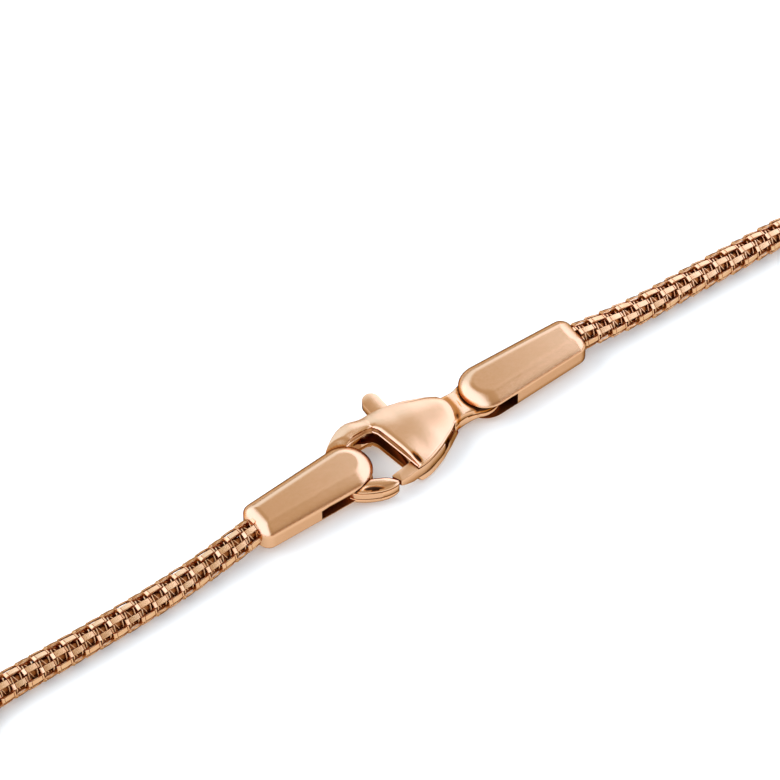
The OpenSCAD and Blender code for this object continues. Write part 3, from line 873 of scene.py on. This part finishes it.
def shell_spot(a, y):
    """Place on the upper shell: a from the window to the neck, y across the clasp."""
    half = SHELL_HW * read_off(SHELL_ROWS, a, 1)
    y = max(-half, min(half, y))
    power = mix(3.2, 2.2, smooth(a / 0.35))
    crown = read_off(SHELL_ROWS, a, 2) * (1 - (abs(y) / half) ** power)
    z = BAND_HH + (CROWN_HH - BAND_HH) * crown
    z -= CREASE * bell(half - abs(y) - CREASE_IN, CREASE_W)
    x = mix(SHELL_START, SHELL_END, a) - read_off(SHELL_ROWS, a, 3) * y
    x += SHELL_NOSE * smooth((a - 0.6) / 0.4) * (1 - (y / half) ** 2)
    z -= rounded(a * SHELL_L, RIM_R) + nick(x, y)
    return Vector((x, y, z))


def hook_spot(t, v):
    """Place on the hook's upper face: t in degrees round the hook from its arm, v from the inner
    edge to the outer one."""
    wide = mix(mix(ARM_W, HOOK_W, smooth(t / 42)), HIDDEN_W, smooth((t - 80) / 30))
    r = HOOK_R + wide * (v - 0.5)
    x = HOOK_X + r * cos_of(90 + t) + AHEAD * (1 - smooth((t - 20) / 50))
    y = HOOK_Y + r * sin_of(90 + t)
    outer = 1 - smooth((t - 40) / 40)
    crown = mix(ARM_HH, HOOK_HH, smooth((t - 70) / 40)) - ARM_FALL * v ** ARM_FALL_POWER * outer
    crown -= rounded(v * wide, RIM_R) * outer
    return Vector((x, y, under_cap(x, y, crown, 0.55, -0.1)))


def row_y(a, j):
    """How far across the clasp row j of the sheet runs, at a along the shells."""
    half = SHELL_HW * read_off(SHELL_ROWS, a, 1)
    last = len(EDGE_LINES) - 1
    if j <= last:
        return EDGE_LINES[j] - half
    if j < FIRST_FAR:
        return mix(EDGE_LINES[-1] - half, ARM_SHARE * half, (j - last) / MIDDLE_STEPS)
    return mix(ARM_SHARE * half, half, FAR_SHARES[j - FIRST_FAR])


def arm_spot(k, j):
    """Place on the arm, from the hook at k = 0 to the shells at k = 1, in row j of the sheet."""
    v = FAR_SHARES[j - FIRST_FAR]
    start, end = hook_spot(0, v), shell_spot(RIM_R / SHELL_L, row_y(0, j))
    return Vector((
        mix(start.x, shell_spot(0, row_y(0, j)).x, k), mix(start.y, end.y, smooth(k)),
        mix(start.z, end.z - rounded(v * ARM_W, RIM_R) * (1 - k), smooth(k))))


def add_upper_face(bm):
    """The clasp's upper face, as one sheet from the hook along the arm to the shells."""
    starts = [off / SHELL_L for off in START_LINES]
    starts += [mix(starts[-1], 1, k / SHELL_STEPS) for k in range(1, SHELL_STEPS + 1)]

    def place(i, j):
        if i >= FIRST_SHELL:
            a = starts[i - FIRST_SHELL]
            return shell_spot(a, row_y(a, j))
        if j < FIRST_FAR:
            return 0, 0, 0
        if i < len(TURNS):
            return hook_spot(TURNS[i], FAR_SHARES[j - FIRST_FAR])
        return arm_spot((i - len(TURNS)) / ARM_STEPS, j)

    spots = sheet(bm, FIRST_SHELL + len(starts) - 1, FIRST_FAR + len(FAR_SHARES) - 1, place)
    # The window's rounded edge fades out where the arm goes on from it
    for i in range(FIRST_SHELL, FIRST_SHELL + len(START_LINES)):
        for j in range(FIRST_FAR, FIRST_FAR + len(FAR_SHARES)):
            v = spots[i, j]
            off = v.co.x - shell_spot(0, v.co.y).x
            v.co.z += rounded(off, RIM_R) * smooth((j - FIRST_FAR) / 4)
    gone = [v for (i, j), v in spots.items() if i < FIRST_SHELL and j < FIRST_FAR]
    bmesh.ops.delete(bm, geom=gone, context="VERTS")

    # The window's far corner is rounded
    corner = shell_spot(0, row_y(0, FIRST_FAR))
    way = ((hook_spot(0, 0) - corner).normalized() + Vector((0, -1, 0))).normalized()
    for v in bm.verts:
        off = (v.co - corner).xy.length
        if off < WINDOW_CORNER:
            push = way * CORNER_PUSH * bell(off, CORNER_R)
            v.co += Vector((push.x, push.y, 0))


def in_slot(x, y):
    inside = False
    for (x0, y0), (x1, y1) in zip(SLOT_PLAN, SLOT_PLAN[1:] + SLOT_PLAN[:1]):
        if (y0 > y) != (y1 > y) and x < mix(x0, x1, (y - y0) / (y1 - y0)):
            inside = not inside
    return inside


def add_walls(bm):
    """Walls from the upper face down to the slot's height, or to the middle outside the slot."""
    lower = bmesh.ops.extrude_face_region(bm, geom=bm.faces[:])["geom"]
    for v in corners_in(lower):
        narrow = 1 - 0.8 * smooth((-2.8 - v.co.x) / 1.1)
        v.co.z = SLOT_HH * narrow if in_slot(v.co.x, v.co.y) else 0
    face_out(bm)
    rim = [e for e in bm.edges if len(e.link_faces) == 2 and e.calc_face_angle(0) > 0.7
           and min(v.co.z for v in e.verts) > 0.2
           and max(f.normal.z for f in e.link_faces) > 0.5]
    round_off(bm, rim, RIM_BEVEL)
    flat = [f for f in bm.faces if all(abs(v.co.z) < 0.0001 for v in f.verts)]
    bmesh.ops.delete(bm, geom=flat, context="FACES")


def in_window(spot, way):
    """Whether a wall faces the middle of the window."""
    return (WINDOW_MIDDLE - spot.xy).dot(way.xy) > 0


def cut_wall_lines(bm):
    """The ledge on the window's walls, and the lines on the arm's inner wall that hold its line of
    painted shade.
    """
    for level in LEDGE:
        cut_line(bm, whole(bm), (0, 0, level), UP)
    bm.normal_update()
    x, near, far, z = ARM_LINE
    for level in (z - 0.07, z, z + 0.06):
        walls = []
        for f in bm.faces:
            middle = f.calc_center_median()
            if (abs(f.normal.z) < 0.5 and middle.x < x and near < middle.y < far
                    and in_window(middle, f.normal)):
                walls.append(f)
        cut_line(bm, with_rims(walls), (0, 0, level), UP)
    bm.normal_update()
    for v in bm.verts:
        if (SLOT_HH - LEVEL < v.co.z < LEDGE[1] + LEVEL and v.normal.xy.length > 0.5
                and v.co.x < WINDOW_WALLS[1] and in_window(v.co, v.normal)):
            v.co += Vector((v.normal.x, v.normal.y, 0)).normalized() * LEDGE_OUT


def choose_finishes(bm):
    """Gold painted darker, as shade, in the slot, also under the arm, and on the window's walls."""
    left, right, near, far = WINDOW_WALLS
    for f in bm.faces:
        x, y, z = f.calc_center_median()
        level = abs(f.normal.z)
        under_arm = x < -2.7 and y > 0.9 and 0.03 < abs(z) < SLOT_HH and level > 0.6
        if under_arm or (level > 0.9 and abs(abs(z) - SLOT_HH) < 0.01):
            f.material_index = IN_SLOT
        elif (level < 0.3 and left < x < right and near < y < far
              and in_window(Vector((x, y, z)), f.normal)):
            f.material_index = IN_WINDOW


def shape_lower_half(bm):
    """The lower shell has a deeper slot and a fuller side than the upper one that it mirrors."""
    for v in bm.verts:
        low = -v.co.z
        if low <= 0.2:
            continue
        share = (low - SLOT_HH) / (BAND_HH - SLOT_HH)
        away = hypot(v.co.x - PIN_X, v.co.y - PIN_Y) if v.co.x > 0.5 else 0
        raised = smooth((away - LEVER_ROOM) / 0.1) * smooth((-0.1 - v.co.y) / 0.4)
        v.co.z = -mix(mix(LOWER_SLOT, RAISED_SLOT, raised), LOWER_HH, share)
        if low >= BAND_HH:
            v.co.z = -mix(LOWER_HH, CROWN_HH, (low - BAND_HH) / (CROWN_HH - BAND_HH))
        if v.co.y < 0:
            v.co.y *= 1 + LOWER_SPREAD * clamp(share) * smooth((v.co.x + 2.6) / 0.4)
            fill = clamp(share) * smooth((v.co.x - 1.7) / 0.7) * smooth(-v.co.y / 1.1)
            v.co.x += FILL_X * fill
            v.co.y *= 1 - FILL_Y * fill


# The hook's tip: degrees round the hook, inner and outer edge, half height
TIP_ROWS = [
    (210, 1.84, 2.87, 0.78), (225, 1.83, 2.88, 0.78), (235, 1.85, 2.89, 0.8), (245, 1.88, 2.9, 0.8),
    (255, 1.94, 2.905, 0.79), (262, 2.02, 2.905, 0.76), (267, 2.14, 2.9, 0.72),
    (271, 2.3, 2.89, 0.66), (274, 2.46, 2.86, 0.59), (276, 2.6, 2.8, 0.52), (277, 2.67, 2.74, 0.46),
]
# Steps along the tip, and the height of its side, below which it keeps its shape
TIP_STEPS, TIP_BAND = 44, 0.35
# The tip's section, from its outer side up and over to its inner one and back below: share of the
# half width, height. A groove runs above and below its middle.
OUTER_SIDE = [
    (1, 0), (1, 0.24), (0.93, 0.29), (0.93, 0.33), (1, 0.38), (1, 0.42), (0.95, 0.47), (0.8, 0.5),
    (0.66, 0.53), (0.59, 0.57), (0.52, 0.61), (0.46, 0.65), (0.4, 0.69), (0.32, 0.722),
    (0.24, 0.752), (0.15, 0.775), (0.05, 0.79), (-0.15, 0.8),
]
INNER_SIDE = [(-0.45, 0.79), (-0.7, 0.74), (-0.88, 0.65), (-0.97, 0.54), (-1, 0.42), (-1, 0)]
LOWER_SIDE = below(INNER_SIDE[1:-1]) + [
    (-0.4, -0.79), (0.1, -0.8), (0.6, -0.8), (0.85, -0.77), (0.96, -0.68), (1, -0.55),
] + below(OUTER_SIDE[1:5])
# The height of the groove's middle
TIP_GROOVE = 0.31


def add_tip(bm):
    """The hook's domed tip."""
    section = OUTER_SIDE + INNER_SIDE + LOWER_SIDE
    full = OUTER_SIDE[-1][1]

    def place(i, j):
        a = mix(TIP_ROWS[0][0], TIP_ROWS[-1][0], 1 - (1 - i / TIP_STEPS) ** 1.6)
        inner, outer, top = (read_off(TIP_ROWS, a, k) for k in (1, 2, 3))
        w, z = section[j % len(section)]
        r = (inner + outer) / 2 + w * (outer - inner) / 2
        x = HOOK_X + r * cos_of(a) + AHEAD * smooth((a - 215) / 30)
        y = HOOK_Y + r * sin_of(a)
        high = abs(z)
        if high >= TIP_BAND:
            high = TIP_BAND + (high - TIP_BAND) * (top - TIP_BAND) / (full - TIP_BAND)
        return x, y, copysign(under_cap(x, y, high, 0.05, -0.05), z)

    had = set(bm.verts)
    sheet(bm, TIP_STEPS, len(section), place)
    close_added(bm, had)


# Sections of the neck: place between the shells' end and the ring's middle, half width, half height
NECK_ROWS = [
    (-0.3, 1.22, 0.62), (-0.1, 1.2, 0.6), (0, 1.17, 0.585), (0.1, 1.1, 0.6), (0.18, 1.05, 0.635),
    (0.26, 1.02, 0.655), (0.34, 1.01, 0.64), (0.42, 1.03, 0.61), (0.5, 1.07, 0.585),
    (0.62, 1.18, 0.575), (0.78, 1.32, 0.57),
]
# A quarter of the neck's section, as shares of its half width and half height
NECK_SIDE = [
    (0.96, 0), (0.965, 0.06), (1, 0.15), (1, 0.6), (0.99, 0.75), (0.96, 0.87), (0.9, 0.94),
    (0.75, 0.975), (0.5, 0.99), (0.25, 1),
]
# The neck's steps, and how much deeper it is below, next to the shells
NECK_STEPS, NECK_DEEPER = 60, 0.22
# The tail ring: radius, hole, half height, rounding, and the groove round its middle
RING_R, RING_HOLE, TAIL_HH, RING_EDGE = 1.5, 0.58, 0.55, 0.22
RING_GROOVE, RING_STEPS = [(RING_R, -0.09), (RING_R - 0.035, -0.04)], 64


def add_tail(bm):
    """The saddle-shaped neck, and the ring round the right post."""
    upper = NECK_SIDE + [(0, 1)] + [(-w, z) for w, z in reversed(NECK_SIDE)]
    section = upper + below(upper[1:-1])

    def place(i, j):
        share = mix(NECK_ROWS[0][0], NECK_ROWS[-1][0], i / NECK_STEPS)
        half, tall = read_off(NECK_ROWS, share, 1), read_off(NECK_ROWS, share, 2)
        w, z = section[j % len(section)]
        if z < 0:
            tall += NECK_DEEPER * (1 - smooth((share - 0.4) / 0.3))
        return mix(SHELL_END, POST_X, share), half * w, tall * z

    had = set(bm.verts)
    sheet(bm, NECK_STEPS, len(section), place)
    close_added(bm, had)

    had = set(bm.verts)
    side = [(RING_HOLE, -TAIL_HH + 0.06), (RING_HOLE + 0.06, -TAIL_HH)]
    side += [(RING_R - RING_EDGE + RING_EDGE * sin(a), -TAIL_HH + RING_EDGE - RING_EDGE * cos(a))
             for a in (pi / 2 * k / 5 for k in range(6))]
    side += RING_GROOVE
    side += below(side)
    verts = [bm.verts.new((POST_X + x, 0, z)) for x, z in side]
    edges = [bm.edges.new(pair) for pair in zip(verts, verts[1:] + verts[:1])]
    bmesh.ops.spin(bm, geom=verts + edges, cent=(POST_X, 0, 0), axis=UP, angle=2 * pi,
                   steps=RING_STEPS, use_merge=True)
    close_added(bm, had)


# Leaves of painted shade: their ends and half width, on the tip, in the nick and beside the right
# cap
LEAF, NICK_LEAF = ((-5.71, -2.0), (-4.34, -2.9), 0.14), (*NICK, 0.14)
FINE_LEAF = ((3.56, 0.05), (3.44, -0.5), 0.035)
# How strong the painted shade is in the leaves, grooves and dark lines
DARK, DARKER = 0.95, 0.97


def leaf(x, y, start, end, half):
    """How far a place is within a pointed leaf between two ends, 1 along its middle."""
    along, off = beside(x, y, start, end)
    wide = half * taper(along)
    return 1 - smooth((off - 0.6 * wide) / (0.7 * wide + 0.001)) if 0 < along < 1 else 0


def neck_painted_shade(x, y, z):
    """How much painted shade the neck gets: along its foot, most of all at its near corner, by the
    cap, along a fine leaf and at its middle.
    """
    corner = bell(y + 0.86, 0.25)
    foot = SHELL_END + SHELL_NOSE * (1 - (y / 1.2) ** 2) + 0.08 * y + 0.34 - 0.08 * corner
    dark = (0.24 + 0.71 * corner) * smooth((1.35 - abs(y)) / 0.3)
    line = dark * bell(x - foot, 0.16) * (abs(z) > 0.3)
    out = hypot(x + CAP_NOSE_X, y) - CAP_NOSE_R
    crescent = 1 - smooth((out - 0.12 + 0.1 * smooth((y + 0.2) / 1.2)) / 0.16)
    by_cap = DARK * crescent * (z > 0.3) * (x < -CAP_NOSE_X + 0.6)
    fine = 0.6 * leaf(x, y, *FINE_LEAF) * (z > 0.3)
    return max(line, by_cap, fine, 0.9 if abs(z) < 0.05 else 0)


def painted_shade_at(spot):
    """How much painted shade a place on the clasp gets, from 0 to 1: in grooves and lines, in dark
    leaves, beside the left cap and on the neck.
    """
    x, y, z = spot
    shade = DARK * (1 - smooth((outside_cap(x, y) - 0.03) / 0.1)) * (z > 0.36)
    if x < -3.4 and y < -0.9:
        groove = abs(abs(z) - TIP_GROOVE) < 0.03
        return DARK if groove else max(shade, DARK * leaf(x, y, *LEAF) * (z > 0.5))
    if x < -3 and y > 0.9 and shade > 0:
        return 0.6 * shade
    right, near, far, height = ARM_LINE
    inward = hypot(min(x - HOOK_X - AHEAD, 0), y - HOOK_Y) - (HOOK_R - ARM_W / 2)
    if x < right and near < y < far and abs(z - height) < 0.01 and inward < 0.05:
        return DARKER
    if x > 2.5:
        return neck_painted_shade(x, y, z)
    if z > 0.5 and y < -1.5:
        return DARKER * leaf(x, y, *NICK_LEAF)
    return 0


def make_clasp(finishes):
    bm = bmesh.new()
    add_upper_face(bm)
    add_walls(bm)
    cut_wall_lines(bm)
    bmesh.ops.mirror(bm, geom=whole(bm), matrix=Matrix.Identity(4), merge_dist=MERGE, axis="Z")
    face_out(bm)
    choose_finishes(bm)
    shape_lower_half(bm)
    add_tip(bm)
    add_tail(bm)
    # Painted shade on the clasp's grooves, lines and leaves, and beside the caps
    depth = bm.verts.layers.float.new("depth")
    for v in bm.verts:
        v[depth] = painted_shade_at(v.co)
    bmesh.ops.translate(bm, vec=(0, 0, CLASP_Z), verts=bm.verts)
    soften(bm, 35)
    make_piece("clasp_polished", bm, finishes, "rose_gold", "bracelet", "clasp_body")


# ---- lever

# The thumb tab's middle, width and reach, and the heights of the lever's top, underside and tab
TAB_X, TAB_W, TAB_REACH = -0.93, 1.24, 4.35
LEVER_TOP, LEVER_LOW, TAB_LOW, GATE_LOW = 0.35, -0.6, -0.39, -0.2
LEVER_RIGHT, EYE_R = PIN_X + 1.65, 0.35
# How far the lever stays inside the shells' near edge
LEVER_IN = 0.02
# The gate's end: its near corner, its far corner, and its far edge at the window
GATE_NEAR, GATE_FAR, GATE_BACK = (-3.19, -2.81), (-3.5, -2.07), (-1.75, -1.87)
# Roundings of the gate's end, and of the rims on top and below
GATE_R, TOP_R, LOW_R = 0.1, 0.055, 0.02


def lever_plan():
    """The lever's outline from above, from the gate's end along the near edge and round the tab."""
    half = TAB_W / 2
    edge = [(mix(SHELL_START, SHELL_END, a), w) for a, w, _, _ in SHELL_ROWS]
    plan = [GATE_NEAR, (-2.65, -2.82), (-2.15, -2.77)]
    for k in range(13):
        x = mix(SHELL_START + 0.37, LEVER_RIGHT, k / 12)
        plan.append((x, -SHELL_HW * read_off(edge, x, 1) - LEVER_IN))
    plan += [(LEVER_RIGHT, PIN_Y - 0.8), (PIN_X + 0.85, PIN_Y + 0.5), (TAB_X + half, PIN_Y + 2.5)]
    plan += [(TAB_X + half * cos(a), TAB_REACH - half + half * sin(a))
             for a in (pi * k / 20 for k in range(21))]
    plan += [(TAB_X - half, PIN_Y + 2.5), (PIN_X - 0.85, PIN_Y + 0.5), GATE_BACK,
             (mix(GATE_BACK[0], GATE_FAR[0], 0.6), mix(GATE_BACK[1], GATE_FAR[1], 0.55)), GATE_FAR]
    return plan


def make_lever(finishes):
    bm = bmesh.new()
    face = bm.faces.new([bm.verts.new((x, y, 0)) for x, y in lever_plan()])
    top = set(corners_in(bmesh.ops.extrude_face_region(bm, geom=[face])["geom"]))
    for v in bm.verts:
        if v in top:
            v.co.z = LEVER_TOP
        elif v.co.y > PIN_Y + 1:
            v.co.z = TAB_LOW
        else:
            v.co.z = mix(LEVER_LOW, GATE_LOW, smooth((-2.1 - v.co.x) / 1.1))
    bmesh.ops.triangulate(bm, faces=[f for f in bm.faces if len(f.verts) > 4])
    face_out(bm)

    def upright(e):
        return (e.verts[0].co - e.verts[1].co).xy.length < LEVEL

    ends = [e for e in bm.edges if upright(e) and e.verts[0].co.x < GATE_NEAR[0] + 0.01]
    round_off(bm, ends, GATE_R, segments=3)
    for low, wide in ((False, TOP_R), (True, LOW_R)):
        rims = [e for e in bm.edges if e.calc_face_angle(0) > 0.8 and not upright(e)
                and (max(v.co.z for v in e.verts) < 0) == low
                and max(abs(f.normal.z) for f in e.link_faces) > 0.5]
        round_off(bm, rims, wide)
    bm = cut_away(bm, rod(EYE_R, 2, (PIN_X, PIN_Y, 0), 40))
    # The gate's end stands in the shade
    way = Vector((GATE_NEAR[1] - GATE_FAR[1], GATE_FAR[0] - GATE_NEAR[0], 0)).normalized()
    for f in bm.faces:
        if f.normal.dot(way) > 0.9 and f.calc_center_median().x < GATE_NEAR[0] + 0.1:
            f.material_index = IN_SLOT
    bmesh.ops.translate(bm, vec=(0, 0, CLASP_Z), verts=bm.verts)
    soften(bm, 30)
    make_piece("lever_polished", bm, finishes, "rose_gold", "lever", "clasp_lever")


# ---- the scene

bpy.context.scene.view_settings.view_transform = "Standard"
set_camera()
set_sky()
set_light()
set_floor()

# Each finish: its two tints, roughness, depth of scratches and grain
polished = metal("rose_gold_polish", (0.97, 0.585, 0.34, 1), (0.955, 0.565, 0.32, 1),
                 0.13, 0.2, 0.5)
# Gold painted dark as the shade inside the slots
slot_shade_gold = metal("rose_gold_slot_shade", (0.26, 0.075, 0.018, 1), (0.2, 0.06, 0.014, 1),
                  0.35, 0.3, 1.0)
# Gold painted darker as the shade on the window's walls
window_shade_gold = metal("rose_gold_window_shade", (0.66, 0.32, 0.145, 1), (0.57, 0.265, 0.115, 1),
                    0.18, 0.3, 0.8)
# The weave's hollows are painted brown as shade
woven = metal("rose_gold_weave", (0.98, 0.61, 0.33, 1), (0.95, 0.55, 0.28, 1),
              0.2, 0.35, 1.2, hollow_shade=(0.3, 0.1, 0.024, 1), ridged=True)
pin_steel = metal("pin_steel", (0.85, 0.52, 0.32, 1), (0.8, 0.47, 0.28, 1), 0.25, 0.3, 1.0)

make_cap("left_cap", -1, 5.0, 0.92, [polished, slot_shade_gold])
make_cap("right_cap", 1, 3.25, 1.2, [polished, slot_shade_gold])
make_weave(woven)
make_clasp([polished, slot_shade_gold, window_shade_gold])
make_lever([polished, slot_shade_gold])

for name in ("left_post", "right_post", "lever_pin"):
    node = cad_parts[name]
    for place in node.material_slots:
        place.material = pin_steel
